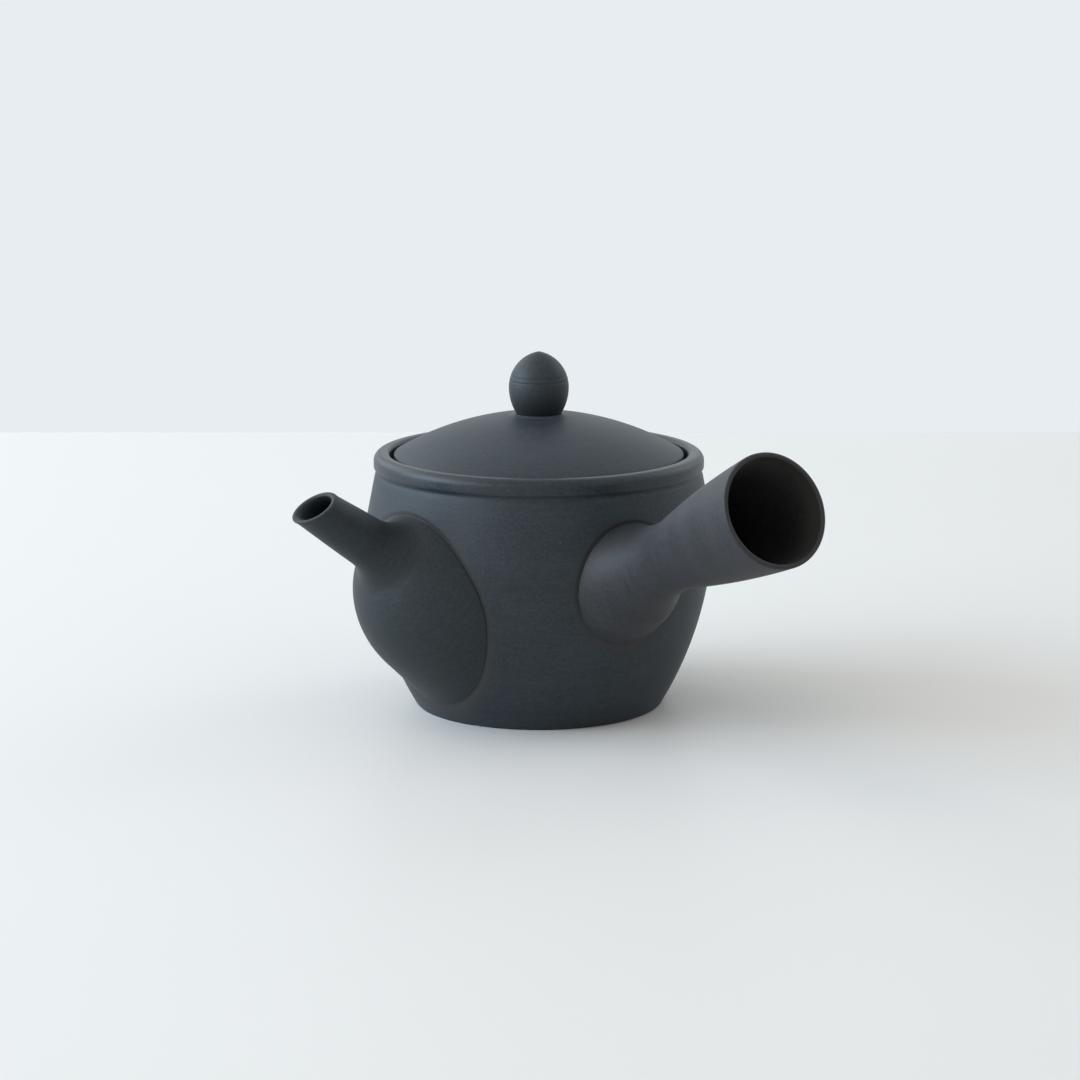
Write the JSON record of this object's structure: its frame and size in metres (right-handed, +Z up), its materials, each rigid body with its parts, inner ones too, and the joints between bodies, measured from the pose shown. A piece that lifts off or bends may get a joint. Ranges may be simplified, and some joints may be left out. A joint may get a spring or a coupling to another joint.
{
  "type": "side-handled teapot",
  "caption": "Unglazed clay teapot with a bell-shaped spout, a hollow trumpet handle at the side, a pierced strainer inside and a domed lift-off lid with a pointed knob.",
  "frame": {"origin": "centre of the flat foot, on the surface the pot stands on", "axes": "+Z up along the axis of the pot and the lid, +X the way the spout points, seen from above; the handle leaves 80 degrees counter-clockwise from the spout"},
  "size_m": [0.1333, 0.1654, 0.0993],
  "materials": {
    "clay": "matte unglazed charcoal clay",
    "clay_handle": "matte unglazed charcoal clay, a little browner",
    "clay_lid": "matte unglazed charcoal clay, a little lighter"
  },
  "bodies": {
    "pot": {"pot_body": "clay", "spout": "clay", "handle": "clay_handle", "strainer": "clay"},
    "lid": {"lid": "clay_lid", "knob": "clay"}
  },
  "joints": [
    {"name": "lid_lift", "type": "slide", "parent": "pot", "child": "lid", "axis": [0, 0, 1], "range_m": [0, 0.05]}
  ]
}
